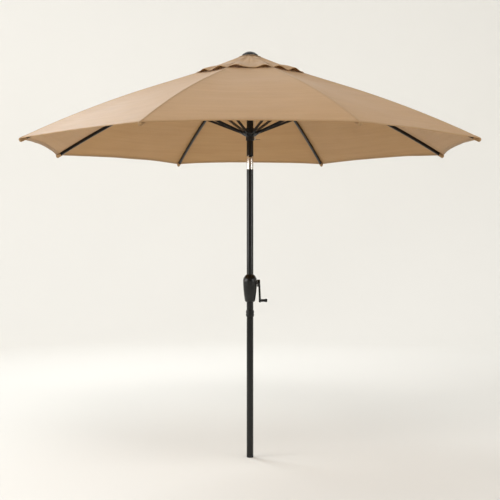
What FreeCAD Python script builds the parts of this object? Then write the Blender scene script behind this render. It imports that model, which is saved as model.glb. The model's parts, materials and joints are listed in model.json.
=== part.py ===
import FreeCAD, Part
import math
import os
import re
import Sketcher

# An eight-rib market umbrella with a crank lift and a tilting pole head.
# The pole stands on the Z axis with its foot at the origin. The crank is on +X, the tilt button on +Y.
# Lengths are in millimetres and angles in degrees.

Vector = FreeCAD.Vector
Rotation = FreeCAD.Rotation
Placement = FreeCAD.Placement

RIBS = 8
HALF_PANEL = 180 / RIBS

SIZES = {
    # pole
    "PoleRadius": 19,
    "PoleWall": 1.5,
    "FootCapHeight": 15,
    "FootPlugTop": 48,
    "JoinHeight": 816,
    "GrooveHeight": 790,
    "GrooveWidth": 3,
    "GrooveDepth": 0.5,
    "SpigotTop": 896,
    "SlipGap": 0.2,
    "RunGap": 0.06,
    "PressGap": 0.02,
    "SeatGap": 0.1,
    "CollarHeight": 38,
    "CollarRadius": 22.4,
    "CollarWaist": 21.4,
    # snap button that locks the two lower poles together
    "SnapHeight": 858,
    "SnapRadius": 4.6,
    "SnapProud": 3,
    "SnapStemStart": 10,
    "SnapFlange": 1.5,
    "LeafInset": 5.2,
    "LeafThickness": 0.8,
    "LeafFoot": 16.5,
    "LeafReach": 21.8,
    "LeafRise": 34,
    # crank housing
    "HousingBottom": 880,
    "HousingFootHeight": 893,
    "HousingFootRadius": 30,
    "HousingFootRound": 13.2,
    "HousingSideRound": 700,
    "HousingWideHeight": 1000,
    "HousingWideRadius": 39.6,
    "HousingTop": 1037,
    "HousingShoulderRound": 44.1,
    "HousingWall": 2.5,
    "ScrewRadius": 1.5,
    "BossRadius": 3.6,
    "LowScrewReach": 24.2,
    "LowScrewHeight": 906,
    "HighScrewReach": 27.5,
    "HighScrewHeight": 1012,
    "ScrewHeadRadius": 2.9,
    "ScrewHeadHeight": 2,
    "ScrewStart": 9,
    "ScrewSeat": 12,
    "BushFlange": 2.5,
    # crank
    "ShaftHeight": 987,
    "ShaftRadius": 5,
    "DrumRadius": 8,
    "DrumFlangeRadius": 12,
    "DrumHalfWidth": 11,
    "DrumFlange": 1.5,
    "WindowRadius": 13.2,
    "HubRadius": 20.5,
    "HubStart": 40.1,
    "HubEnd": 57.5,
    "ArmThickness": 12,
    "ArmWidth": 19,
    "ArmLean": 0.9,
    "ArmTop": 6,
    "ArmToe": 1,
    "HubRound": 3.5,
    "BoreFloor": 6,
    "CrankRadius": 98,
    "KnobStart": 62.5,
    "KnobEnd": 98,
    "KnobRadius": 9.5,
    "KnobNeckRadius": 8.6,
    "KnobPinRadius": 3,
    "KnobCapThickness": 3.4,
    "KnobGap": 0.8,
    # tilting head
    "SocketBottom": 1632,
    "SocketTop": 1699,
    "SocketWall": 3,
    "SocketPlugBottom": 1572,
    "TiltPivotHeight": 1690,
    "TiltPinRadius": 4,
    "TongueHalfWidth": 8,
    "TongueRadius": 13.4,
    "NeckLeft": 6.4,
    "NeckRight": 12.6,
    "HollowRadius": 21.6,
    "UpperPoleBottom": 1712,
    "TonguePlugTop": 1762,
    "LockDrop": 17,
    "LockHeadRadius": 2.6,
    "LockNeckRadius": 1.8,
    "LockSlotRadius": 3,
    "ButtonRadius": 5.2,
    "ButtonProud": 2.2,
    "ButtonCapStart": 13.6,
    "ButtonHead": 3,
    "SpringWire": 0.35,
    "SpringTurns": 5,
    "TailRight": 5,
    "TailLeft": 13,
    "TailDepth": 6,
    "CollarGap": 0.6,
    "TiltAngle": 30,
    # lift cord
    "CordRadius": 1.5,
    "CordOffset": 7,
    "PulleyReach": 18,
    "PulleyHeight": 2254,
    "PulleyRadius": 10,
    "PulleyHalfWidth": 3,
    # ribs, struts and their two rings of pivots
    "PivotRadius": 40,
    "CrownPivotHeight": 2244,
    "RunnerPivotHeight": 1836,
    "StrutLength": 560,
    "StrutDrop": 18,
    "RibOuterLength": 783,
    "RibOuterRound": 5783,
    "RibWidth": 12,
    "RibHeight": 18,
    "RibWall": 0.8,
    "RibRound": 2.4,
    "RibTubeStart": 16,
    "TongueWidth": 7,
    "EyeRadius": 6.5,
    "EyeHoleRadius": 2.4,
    "RingWireRadius": 1.9,
    "TipCapLength": 20,
    "TipPlugLength": 14,
    "ClevisPlate": 1.6,
    "ClevisLength": 22,
    "StrutWidth": 8,
    "StrutHeight": 13,
    "StrutWall": 1,
    "StrutSolidEnd": 26,
    "StrutPinRadius": 2.4,
    "StrutPinHole": 2.5,
    # crown and finial
    "PoleTop": 2236,
    "CrownRadius": 46,
    "CrownBottom": 2235,
    "CrownTop": 2268,
    "CrownSkirtRadius": 24,
    "CrownSkirtBottom": 2204,
    "SlotWidth": 8.8,
    "SlotInner": 30,
    "SlotRise": 9,
    "FinialRadius": 45.5,
    "FinialBottom": 2273,
    "FinialRim": 6,
    "FinialTop": 2297,
    "StudRadius": 5,
    "SheavePinRadius": 2,
    "SheavePinLength": 18,
    # runner
    "RunnerBore": 20,
    "RunnerSleeveRadius": 23.4,
    "RunnerBottom": 1794,
    "RunnerConeBottom": 1817,
    "RunnerConeRadius": 25.6,
    "RunnerFlangeBottom": 1829,
    "RunnerFlangeTop": 1844,
    "RunnerFlangeRadius": 50,
    "RunnerCollarRadius": 25.6,
    "RunnerCollarTop": 1864,
    "RunnerSlotWidth": 9.4,
    "CordHoleRadius": 2.2,
    "KnotLength": 15,
    "KnotRadius": 3.4,
    "KnotDrop": 12,
    "TailLength": 28,
    # canopy cloth
    "ClothThickness": 1,
    "ClothGap": 1.6,
    "VentHoleRadius": 210,
    "HemCut": 28,
    "VentInnerRadius": 47,
    "VentInnerHeight": 2270,
    "VentBreakRadius": 170,
    "VentBreakHeight": 2217,
    "VentHemRadius": 322,
    "VentHemHeight": 2158.5,
}

doc = FreeCAD.newDocument("Umbrella")
sheet = doc.addObject("Spreadsheet::Sheet", "Sizes")


def fill_sheet():
    for row, (alias, value) in enumerate(SIZES.items(), start=1):
        sheet.set(f"A{row}", alias)
        sheet.set(f"B{row}", str(value))
        sheet.setAlias(f"B{row}", alias)
    doc.recompute()


def expand(text):
    """The expression with each alias written as a cell of the sheet."""
    return re.sub(r"[A-Za-z]\w*", lambda m: f"Sizes.{m[0]}" if m[0] in SIZES else m[0], str(text))


def size(text):
    """The value of an expression in the sheet's aliases."""
    return float(sheet.evalExpression(expand(text)))


def bind(item, **properties):
    for name, text in properties.items():
        item.setExpression(name, expand(text))
    return item


def place(item, x=0, y=0, z=0, turn=None):
    """Put an item at a bound position, turned first if a rotation is given."""
    if turn is not None:
        item.Placement = Placement(Vector(), turn)
    for axis, text in zip("xyz", (x, y, z)):
        item.setExpression(f"Placement.Base.{axis}", expand(text))
    return item


ALONG = {
    "x": Rotation(Vector(0, 0, 1), Vector(1, 0, 0)),
    "y": Rotation(Vector(0, 0, 1), Vector(0, 1, 0)),
    "z": Rotation(),
}


def rod(name, radius, length, x=0, y=0, z=0, along="z"):
    """A cylinder that starts at x, y, z and runs along an axis."""
    item = doc.addObject("Part::Cylinder", name)
    bind(item, Radius=radius, Height=length)
    return place(item, x, y, z, ALONG[along])


def block(name, low, high):
    """A box from its low corner to its high corner, three expressions each."""
    item = doc.addObject("Part::Box", name)
    spans = [f"({b}) - ({a})" for a, b in zip(low, high)]
    bind(item, Length=spans[0], Width=spans[1], Height=spans[2])
    return place(item, *low)


def torus(name, ring, wire, x=0, y=0, z=0, turn=None, sweep=360):
    item = doc.addObject("Part::Torus", name)
    bind(item, Radius1=ring, Radius2=wire)
    item.Angle3 = sweep
    return place(item, x, y, z, turn)


def fuse(name, *items):
    item = doc.addObject("Part::MultiFuse", name)
    item.Shapes = list(items)
    item.Refine = True
    return item


def cut(name, base, *tools):
    item = doc.addObject("Part::Cut", name)
    item.Base = base
    item.Tool = tools[0] if len(tools) == 1 else fuse(f"{name}_tools", *tools)
    return item


def common(name, base, tool):
    item = doc.addObject("Part::Common", name)
    item.Base = base
    item.Tool = tool
    return item


def group(name, *items):
    item = doc.addObject("Part::Compound", name)
    item.Links = list(items)
    return item


def tube(name, outer, inner, bottom, top):
    wall = rod(f"{name}_outer", outer, f"({top}) - ({bottom})", z=bottom)
    bore = rod(f"{name}_bore", inner, f"({top}) - ({bottom}) + 2", z=f"({bottom}) - 1")
    return cut(name, wall, bore)


def origin_plane(body, role):
    return next(f for f in body.Origin.OriginFeatures if f.Role == role)


def near(a, b):
    return a.distanceToPoint(b) < 1e-4


def arc_between(start, end, radius, bulge):
    """The short arc of this radius from start to end, bulging left (1) or right (-1) of the chord."""
    chord = end - start
    middle = (start + end) / 2
    side = Vector(-chord.y, chord.x, 0).normalize() * bulge
    rise = radius - math.sqrt(radius**2 - chord.Length**2 / 4)
    return Part.Arc(start, middle + side * rise, end)


def outline(body, name, corners, plane="XZ_Plane"):
    """A closed sketch whose corners are held by bound distances.

    Each corner is (x, y), reached by a straight side, or (x, y, radius, bulge), reached by an arc.
    """
    sketch = body.newObject("Sketcher::SketchObject", name)
    sketch.AttachmentSupport = [(origin_plane(body, plane), "")]
    sketch.MapMode = "FlatFace"
    points = [Vector(size(c[0]), size(c[1]), 0) for c in corners]
    ends = []
    for i, corner in enumerate(corners):
        start, end = points[i - 1], points[i]
        if len(corner) == 2:
            side = Part.LineSegment(start, end)
        else:
            side = arc_between(start, end, size(corner[2]), corner[3])
        index = sketch.addGeometry(side, False)
        forward = near(sketch.getPoint(index, 1), start)
        ends.append((index, 1, 2) if forward else (index, 2, 1))
    for i, corner in enumerate(corners):
        index, _, last = ends[i]
        following, first, _ = ends[(i + 1) % len(ends)]
        sketch.addConstraint(Sketcher.Constraint("Coincident", index, last, following, first))
        for direction, axis, text in (("DistanceX", -2, corner[0]), ("DistanceY", -1, corner[1])):
            value = size(text)
            if abs(value) < 1e-9:
                sketch.addConstraint(Sketcher.Constraint("PointOnObject", index, last, axis))
                continue
            held = sketch.addConstraint(Sketcher.Constraint(direction, -1, 1, index, last, value))
            sketch.setExpression(f"Constraints[{held}]", expand(text))
        if len(corner) > 2:
            held = sketch.addConstraint(Sketcher.Constraint("Radius", index, size(corner[2])))
            sketch.setExpression(f"Constraints[{held}]", expand(corner[2]))
    return sketch


def revolved(name, corners, angle=360):
    """A body turned about Z from an outline of radii and heights."""
    body = doc.addObject("PartDesign::Body", name)
    sketch = outline(body, f"{name}_profile", corners)
    turn = body.newObject("PartDesign::Revolution", f"{name}_turn")
    turn.Profile = sketch
    turn.ReferenceAxis = (sketch, ["V_Axis"])
    turn.Angle = angle
    body.Tip = turn
    return body


def padded(body, name, corners, width, plane="XZ_Plane"):
    """Pad an outline evenly to both sides of its plane."""
    pad = body.newObject("PartDesign::Pad", f"{name}_pad")
    pad.Profile = outline(body, f"{name}_outline", corners, plane)
    pad.Midplane = True
    bind(pad, Length=width)
    body.Tip = pad
    return pad


def pocketed(body, name, corners, width):
    """Pocket an outline evenly to both sides of its plane."""
    pocket = body.newObject("PartDesign::Pocket", f"{name}_pocket")
    pocket.Profile = outline(body, f"{name}_opening", corners)
    pocket.Midplane = True
    bind(pocket, Length=width)
    body.Tip = pocket
    return pocket


# ---- pole ----


def foot_cap():
    rim = rod("cap_rim", "PoleRadius", "FootCapHeight")
    plug = rod("cap_plug", "PoleRadius - PoleWall - SlipGap", "FootPlugTop")
    hollow = rod("cap_hollow", "PoleRadius - PoleWall * 3", "FootPlugTop", z="FootCapHeight / 3")
    return cut("foot_cap", fuse("cap_body", rim, plug), hollow)


def lower_pole():
    """The foot tube, with a rolled groove under the collar and a swaged end that enters the middle pole."""
    inner = "PoleRadius - PoleWall"
    spigot = f"{inner} - SlipGap"
    swage = "JoinHeight + PoleWall * 3"
    body = revolved("lower_pole_form", [
        (inner, "FootCapHeight"),
        ("PoleRadius", "FootCapHeight"),
        ("PoleRadius", "GrooveHeight"),
        ("PoleRadius - GrooveDepth", "GrooveHeight + GrooveDepth"),
        ("PoleRadius - GrooveDepth", "GrooveHeight + GrooveWidth - GrooveDepth"),
        ("PoleRadius", "GrooveHeight + GrooveWidth"),
        ("PoleRadius", "JoinHeight"),
        (spigot, swage),
        (spigot, "SpigotTop"),
        (f"{spigot} - PoleWall", "SpigotTop"),
        (f"{spigot} - PoleWall", swage),
        (inner, "JoinHeight - PoleWall * 3"),
    ])
    hole = rod("lower_snap_hole", "SnapRadius + SlipGap", "PoleRadius", z="SnapHeight", along="y")
    return cut("lower_pole", body, hole)


def middle_pole():
    wall = tube("middle_wall", "PoleRadius", "PoleRadius - PoleWall", "JoinHeight + PoleWall * 3",
                "SocketBottom")
    snap = rod("middle_snap_hole", "SnapRadius + SlipGap", "PoleRadius + 1", z="SnapHeight", along="y")
    window = rod("drum_window", "WindowRadius", "PoleRadius + 1", z="ShaftHeight", along="x")
    journal = rod("bush_hole", "ShaftRadius * 2", "PoleRadius + 1", x="-PoleRadius - 1", z="ShaftHeight",
                  along="x")
    return cut("middle_pole", wall, snap, window, journal)


def pole_collar():
    bore = "PoleRadius + SlipGap"
    bottom = "JoinHeight - CollarHeight / 2"
    top = "JoinHeight + CollarHeight / 2"
    swell = "CollarHeight / 2.6"
    return revolved("pole_collar", [
        (bore, bottom),
        ("CollarWaist - 1", bottom),
        ("CollarRadius", f"{bottom} + CollarHeight / 5", swell, -1),
        ("CollarWaist", "JoinHeight", swell, -1),
        ("CollarRadius", f"{top} - CollarHeight / 5", swell, -1),
        ("CollarWaist - 1", top, swell, -1),
        (bore, top),
    ])


def snap_button():
    stem = rod("snap_stem", "SnapRadius", "PoleRadius + SnapProud - SnapStemStart", y="SnapStemStart",
               z="SnapHeight", along="y")
    head = rod("snap_flange", "SnapRadius + 2", "SnapFlange", y="SnapStemStart + 1.3", z="SnapHeight",
               along="y")
    button = fuse("snap_body", stem, head)
    rounding = doc.addObject("Part::Sphere", "snap_round")
    bind(rounding, Radius="SnapRadius * 2.6")
    place(rounding, y="PoleRadius + SnapProud - SnapRadius * 2.6", z="SnapHeight")
    return common("snap_button", button, rounding)


def snap_spring():
    """A bent steel leaf in the spigot that pushes the snap button out."""
    body = doc.addObject("PartDesign::Body", "snap_spring")
    face = "PoleRadius - PoleWall * 3 - LeafInset"
    back = f"{face} - LeafThickness"
    low = "SnapHeight - SnapRadius"
    bend = "SnapHeight + SnapRadius"
    top = "SnapHeight + LeafRise"
    padded(body, "leaf", [
        (f"{face} - LeafFoot", low),
        (face, low),
        (face, bend),
        (f"{face} - LeafReach", top),
        (f"{back} - LeafReach", f"{top} - LeafThickness"),
        (back, f"{bend} - LeafThickness / 2"),
        (back, f"{low} + LeafThickness"),
        (f"{face} - LeafFoot", f"{low} + LeafThickness"),
    ], "SnapRadius * 1.6", "YZ_Plane")
    return body


# ---- crank housing ----


def housing_form(name, inset, angle_start):
    """Half of the pear-shaped housing, shrunk inwards by the inset."""
    body = revolved(name, [
        (0, f"HousingBottom + {inset}"),
        ("PoleRadius + 0.5", f"HousingBottom + {inset}"),
        (f"HousingFootRadius - {inset}", "HousingFootHeight", f"HousingFootRound - {inset} * 0.5", -1),
        (f"HousingWideRadius - {inset}", "HousingWideHeight", "HousingSideRound", -1),
        ("PoleRadius + 0.5", f"HousingTop - {inset}", f"HousingShoulderRound - {inset}", -1),
        (0, f"HousingTop - {inset}"),
    ], 180)
    body.Placement = Placement(Vector(), Rotation(Vector(0, 0, 1), angle_start))
    return body


SCREWS = [(side, level) for side in (-1, 1) for level in ("Low", "High")]


def screw_place(side, level):
    return f"{side} * {level}ScrewReach", f"{level}ScrewHeight"


def housing_shell(name, side):
    """One shell, on side -1 (front) or 1 (rear), with its four screw bosses."""
    start = 0 if side > 0 else 180
    outer = housing_form(f"{name}_outer", "0", start)
    inner = housing_form(f"{name}_inner", "HousingWall", start)
    wall = cut(f"{name}_wall", outer, inner)
    posts = []
    holes = []
    depth = "HousingWideRadius"
    for hand, level in SCREWS:
        x, z = screw_place(hand, level)
        tag = f"{name}_{level}_{'right' if hand > 0 else 'left'}"
        low = "0" if side > 0 else f"-({depth})"
        posts.append(rod(f"{tag}_post", "BossRadius", depth, x, low, z, "y"))
        if side > 0:
            holes.append(rod(f"{tag}_hole", "ScrewRadius + SeatGap", depth, x, "-1", z, "y"))
            holes.append(rod(f"{tag}_head_seat", "ScrewHeadRadius + SlipGap", depth, x, "ScrewSeat", z, "y"))
        else:
            holes.append(rod(f"{tag}_hole", "ScrewRadius + PressGap", "ScrewStart + 3", x, "-ScrewStart - 2",
                             z, "y"))
    again = housing_form(f"{name}_limit", "HousingWall / 2", start)
    bosses = common(f"{name}_bosses", fuse(f"{name}_posts", *posts), again)
    bore = rod(f"{name}_bore", "PoleRadius + PressGap", "HousingTop", z="HousingBottom / 2")
    shaft = rod(f"{name}_shaft_hole", "ShaftRadius + SeatGap * 6", "HousingWideRadius + 2", z="ShaftHeight",
                along="x")
    return cut(name, fuse(f"{name}_solid", wall, bosses), bore, shaft, *holes)


def housing_screws():
    screws = []
    for hand, level in SCREWS:
        x, z = screw_place(hand, level)
        tag = f"screw_{level}_{'right' if hand > 0 else 'left'}"
        shank = rod(f"{tag}_shank", "ScrewRadius", "ScrewStart + ScrewSeat + 1", x, "-ScrewStart", z, "y")
        head = rod(f"{tag}_head", "ScrewHeadRadius", "ScrewHeadHeight", x, "ScrewSeat + PressGap", z, "y")
        screws.append(fuse(tag, shank, head))
    return group("housing_screws", *screws)


def shaft_bushes():
    """Two flanged bushes that carry the spool in the pole's side holes."""
    bushes = []
    for name, hand, hole in (("drum_bush", 1, "WindowRadius"), ("end_bush", -1, "ShaftRadius * 2")):
        radius = f"{hole} - SeatGap"
        inner = "DrumHalfWidth + 1"
        face = "PoleRadius + SeatGap"
        flange = f"{face} + BushFlange"
        turn = Rotation() if hand > 0 else Rotation(Vector(0, 0, 1), 180)
        barrel = rod(f"{name}_barrel", radius, f"{flange} - ({inner})", x=inner, along="x")
        plate = rod(f"{name}_plate", f"{radius} + BushFlange", "BushFlange", x=face, along="x")
        bore = rod(f"{name}_bore", "ShaftRadius + RunGap", "PoleRadius * 2", along="x")
        bush = cut(name, fuse(f"{name}_body", barrel, plate), bore)
        bush.Placement = Placement(Vector(), turn)
        bind(bush, **{"Placement.Base.z": "ShaftHeight"})
        bushes.append(bush)
    return group("shaft_bushes", *bushes)


# ---- crank ----


def cord_spool():
    """The drum that winds the lift cord, with its shaft."""
    shaft = rod("spool_shaft", "ShaftRadius", "HubEnd - BoreFloor - 0.5 + PoleRadius + 4", "-PoleRadius - 4",
                0,
                "ShaftHeight", "x")
    core = rod("spool_core", "DrumRadius", "DrumHalfWidth * 2", "-DrumHalfWidth", 0, "ShaftHeight", "x")
    flanges = [
        rod(f"spool_flange_{side}", "DrumFlangeRadius", "DrumFlange", start, 0, "ShaftHeight", "x")
        for side, start in (("left", "-DrumHalfWidth"), ("right", "DrumHalfWidth - DrumFlange"))
    ]
    return fuse("cord_spool", shaft, core, *flanges)


def crank_arm():
    """A round hub on the shaft and a leaning flat arm with the knob's pin."""
    hub = rod("arm_hub", "HubRadius", "HubEnd - HubStart", "HubStart", 0, "ShaftHeight", "x")
    body = doc.addObject("PartDesign::Body", "arm_blade")
    low = "ShaftHeight - CrankRadius"
    foot = "KnobStart - KnobGap"
    toe = f"{low} - ArmWidth / 2 - ArmToe"
    padded(body, "blade", [
        ("HubEnd - ArmThickness + ArmLean", "ShaftHeight + ArmTop"),
        (f"{foot} - ArmThickness", f"{low} + ArmTop - 2"),
        (f"{foot} - ArmThickness", f"{toe} + 2.5"),
        (f"{foot} - ArmThickness + 2.5", toe),
        (foot, toe),
        (foot, f"{low} + ArmTop + 2"),
        ("HubEnd", "ShaftHeight + ArmTop"),
    ], "ArmWidth")
    pin = rod("knob_pin", "KnobPinRadius", "KnobEnd - KnobStart - KnobCapThickness + 0.4", f"{foot} - 1", 0,
              low, "x")
    bore = rod("arm_bore", "ShaftRadius + PressGap", "HubEnd - HubStart - BoreFloor + 1", "HubStart - 1", 0,
               "ShaftHeight", "x")
    return cut("arm_with_bore", fuse("arm_solid", hub, body, pin), bore)


def rounded_arm():
    """The arm with the rims of its hub and blade softened."""
    arm = crank_arm()
    doc.recompute()
    soft = doc.addObject("Part::Fillet", "crank_arm")
    soft.Base = arm
    hub_end = size("HubEnd")
    round_off = size("HubRound")
    edges = []
    for number, edge in enumerate(arm.Shape.Edges, start=1):
        box = edge.BoundBox
        on_face = abs(box.XMin - hub_end) < 0.01 and abs(box.XMax - hub_end) < 0.01
        if on_face and hasattr(edge.Curve, "Radius"):
            edges.append((number, round_off, round_off))
    soft.Edges = edges
    return soft


def crank_knob():
    """A barrel grip, widest at its outer end, that turns on the arm's pin."""
    body = revolved("knob_form", [
        ("KnobPinRadius + RunGap", 0),
        ("KnobNeckRadius - 1", 0),
        ("KnobNeckRadius", "1.5"),
        ("KnobRadius", "(KnobEnd - KnobStart) * 0.75", 60, 1),
        ("KnobRadius * 0.8", "KnobEnd - KnobStart", "KnobRadius", -1),
        (0, "KnobEnd - KnobStart"),
        (0, "KnobEnd - KnobStart - KnobCapThickness"),
        ("KnobPinRadius + RunGap", "KnobEnd - KnobStart - KnobCapThickness"),
    ])
    knob = group("crank_knob", body)
    return place(knob, "KnobStart", 0, "ShaftHeight - CrankRadius", ALONG["x"])


# ---- tilting head ----


def tilt_socket():
    """The bright sleeve on the middle pole that holds the tilt pivot and its lock."""
    inner = "PoleRadius - SocketWall"
    spigot = "PoleRadius - PoleWall - SlipGap"
    body = revolved("socket_form", [
        (inner, "SocketTop"),
        (inner, "TiltPivotHeight - 34"),
        (f"{spigot} - SocketWall", "SocketBottom - 5"),
        (f"{spigot} - SocketWall", "SocketPlugBottom"),
        (spigot, "SocketPlugBottom"),
        (spigot, "SocketBottom"),
        ("PoleRadius", "SocketBottom"),
        ("PoleRadius", "SocketTop"),
    ])
    pin = rod("socket_pin_hole", "TiltPinRadius + PressGap", "PoleRadius * 2 + 4", y="-PoleRadius - 2",
              z="TiltPivotHeight", along="y")
    button = rod("socket_button_hole", "ButtonRadius + SlipGap", "PoleRadius + 2",
                 z="TiltPivotHeight - LockDrop", along="y")
    return cut("tilt_socket", body, pin, button)


def tilt_pin():
    return rod("tilt_pin", "TiltPinRadius", "PoleRadius * 2 - 0.8", y="-PoleRadius + 0.4",
               z="TiltPivotHeight", along="y")


def lock_slot(name):
    """The curved slot that the lock head runs in, about the tilt pivot."""
    holes = []
    steps = 12
    for step in range(steps + 1):
        angle = math.radians(size("TiltAngle") + 4) * (step - 1) / (steps - 1)
        x = f"-LockDrop * {math.sin(angle):.6f}"
        z = f"TiltPivotHeight - LockDrop * {math.cos(angle):.6f}"
        holes.append(rod(f"{name}_{step}", "LockSlotRadius", "TongueHalfWidth * 2 + 2", x,
                         "-TongueHalfWidth - 1", z, "y"))
    return fuse(name, *holes)


def tilt_tongue():
    """The black inner half of the tilt joint, plugged into the upper pole."""
    tail = doc.addObject("PartDesign::Body", "tongue_tail")
    pivot = "TiltPivotHeight"
    padded(tail, "tail", [
        ("TailRight", f"{pivot} - TongueRadius / 2"),
        ("TailRight", f"{pivot} - LockDrop"),
        ("TailRight - 2", f"{pivot} - LockDrop - TailDepth + 2"),
        ("-1", f"{pivot} - LockDrop - TailDepth"),
        ("4 - TailLeft", f"{pivot} - LockDrop - TailDepth + 1"),
        ("-TailLeft", f"{pivot} - LockDrop"),
        ("-TailLeft", f"{pivot} - TailRight"),
        ("0", f"{pivot} + 2"),
    ], "TongueHalfWidth * 2")
    disc = rod("tongue_disc", "TongueRadius", "TongueHalfWidth * 2", y="-TongueHalfWidth", z=pivot, along="y")
    neck = block("tongue_neck", ("-NeckLeft", "-TongueHalfWidth", pivot),
                 ("NeckRight", "TongueHalfWidth", "UpperPoleBottom + 1"))
    collar = rod("tongue_collar", "PoleRadius", "UpperPoleBottom - SocketTop - CollarGap",
                 z="SocketTop + CollarGap")
    hollow = rod("tongue_hollow", "HollowRadius", "PoleRadius * 2 + 4", y="-PoleRadius - 2", z=pivot,
                 along="y")
    rim = cut("tongue_rim", collar, hollow)
    plug = tube("tongue_plug", "PoleRadius - PoleWall - SlipGap", "PoleRadius - PoleWall * 3",
                "UpperPoleBottom - SlipGap", "TonguePlugTop")
    floor = rod("tongue_floor", "PoleRadius - PoleWall - SlipGap", "PoleWall * 4",
                z="UpperPoleBottom - SlipGap")
    solid = fuse("tongue_solid", tail, disc, neck, rim, plug, floor)
    pin = rod("tongue_pin_hole", "TiltPinRadius + RunGap", "PoleRadius * 2", y="-PoleRadius", z=pivot,
              along="y")
    cord = rod("tongue_cord_hole", "CordHoleRadius", "TonguePlugTop", x="CordOffset",
               z=f"{pivot} - LockDrop * 2")
    return cut("tilt_tongue", solid, pin, cord, lock_slot("tongue_slot"))


def tilt_button():
    """Push button, thin neck and lock head; the head leaves the tongue when pressed."""
    height = "TiltPivotHeight - LockDrop"
    cap = rod("button_cap", "ButtonRadius", "PoleRadius + ButtonProud - ButtonCapStart", y="ButtonCapStart",
              z=height,
              along="y")
    crown = doc.addObject("Part::Sphere", "button_round")
    bind(crown, Radius="ButtonRadius * 3")
    place(crown, y="PoleRadius + ButtonProud - ButtonRadius * 3", z=height)
    neck = rod("button_neck", "LockNeckRadius", "ButtonCapStart + TongueHalfWidth - 1",
               y="-TongueHalfWidth + 1",
               z=height, along="y")
    head = rod("button_head", "LockHeadRadius", "ButtonHead", y="-TongueHalfWidth", z=height, along="y")
    return fuse("tilt_button", common("button_face", cap, crown), neck, head)


def coil(name, pitch, turns, radius, wire):
    """A coil spring standing on the XY plane about Z."""
    helix = Part.makeHelix(pitch, pitch * turns, radius)
    section = Part.Wire(Part.makeCircle(wire, Vector(radius, 0, 0), Vector(0, 1, 0)))
    item = doc.addObject("Part::Feature", name)
    item.Shape = Part.Wire(helix).makePipeShell([section], True, True)
    return item


def button_spring():
    room = size("PoleRadius - SocketWall - TongueHalfWidth")
    wire = size("SpringWire")
    turns = size("SpringTurns")
    pitch = (room - 2 * wire - size("SlipGap") * 2) / turns
    item = coil("button_spring", pitch, turns, size("LockHeadRadius - SpringWire"), wire)
    start = Vector(0, wire - size("PoleRadius - SocketWall - SlipGap"), size("TiltPivotHeight - LockDrop"))
    item.Placement = Placement(start, ALONG["y"])
    return item


# ---- upper pole, crown and finial ----


def upper_pole():
    return tube("upper_pole", "PoleRadius", "PoleRadius - PoleWall", "UpperPoleBottom", "PoleTop")


def radial_slots(name, width, inner, low, high, reach):
    """One slot for each rib, cut from the rim inwards."""
    slots = []
    for number in range(RIBS):
        slot = block(f"{name}_{number + 1}", (inner, f"-({width}) / 2", low), (reach, f"({width}) / 2", high))
        holder = group(f"{name}_at_{number + 1}", slot)
        holder.Placement = Placement(Vector(), Rotation(Vector(0, 0, 1), azimuth(number)))
        slots.append(holder)
    return slots


def azimuth(number):
    return HALF_PANEL + number * 2 * HALF_PANEL


def crown_hub():
    """The notched disc on the pole's top that the ribs hang from."""
    body = revolved("crown_form", [
        (0, "CrownTop"),
        (0, "PoleTop + 0.2"),
        ("PoleRadius + 0.1", "PoleTop + 0.2"),
        ("PoleRadius + 0.1", "CrownSkirtBottom"),
        ("CrownSkirtRadius", "CrownSkirtBottom"),
        ("CrownSkirtRadius", "CrownBottom"),
        ("CrownRadius - 3", "CrownBottom"),
        ("CrownRadius", "CrownBottom + 3"),
        ("CrownRadius", "CrownTop - 10"),
        ("CrownRadius - 10", "CrownTop", 14, -1),
    ])
    slots = radial_slots("crown_slot", "SlotWidth", "SlotInner", "CrownBottom - 1",
                         "CrownPivotHeight + SlotRise", "CrownRadius + 2")
    groove = torus("crown_groove", "PivotRadius", "RingWireRadius + PressGap", z="CrownPivotHeight")
    stud = rod("stud_hole", "StudRadius + SeatGap", "CrownTop", z="PoleTop + 4")
    reach = "PulleyRadius + CordRadius + 0.5"
    half = "PulleyHalfWidth + SlipGap * 3"
    pocket = block("pulley_pocket", (f"PulleyReach - ({reach})", f"-({half})", "CrownBottom - 1"),
                   (f"PulleyReach + {reach}", half, f"PulleyHeight + {reach}"))
    pin = rod("pulley_pin_hole", "SheavePinRadius + PressGap", "SheavePinLength + SlipGap", "PulleyReach",
              "-(SheavePinLength + SlipGap) / 2", "PulleyHeight", "y")
    return cut("crown_hub", body, *slots, groove, stud, pocket, pin)


def ring_wire(name, height):
    return torus(name, "PivotRadius", "RingWireRadius", z=height)


def pulley():
    """A grooved sheave in the crown, and the pin it turns on."""
    half = "PulleyHalfWidth"
    core = rod("sheave_core", "PulleyRadius - CordRadius - SeatGap", f"{half} * 2", "PulleyReach", f"-{half}",
               "PulleyHeight", "y")
    cheeks = [
        rod(f"sheave_cheek_{side}", "PulleyRadius + CordRadius", "1", "PulleyReach", start, "PulleyHeight",
            "y")
        for side, start in (("front", f"-{half}"), ("rear", f"{half} - 1"))
    ]
    bore = rod("sheave_bore", "SheavePinRadius + RunGap", "PulleyRadius * 2", "PulleyReach", "-PulleyRadius",
               "PulleyHeight", "y")
    sheave = cut("sheave", fuse("sheave_solid", core, *cheeks), bore)
    pin = rod("sheave_pin", "SheavePinRadius", "SheavePinLength", "PulleyReach", "-SheavePinLength / 2",
              "PulleyHeight",
              "y")
    return group("pulley", sheave, pin)


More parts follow.
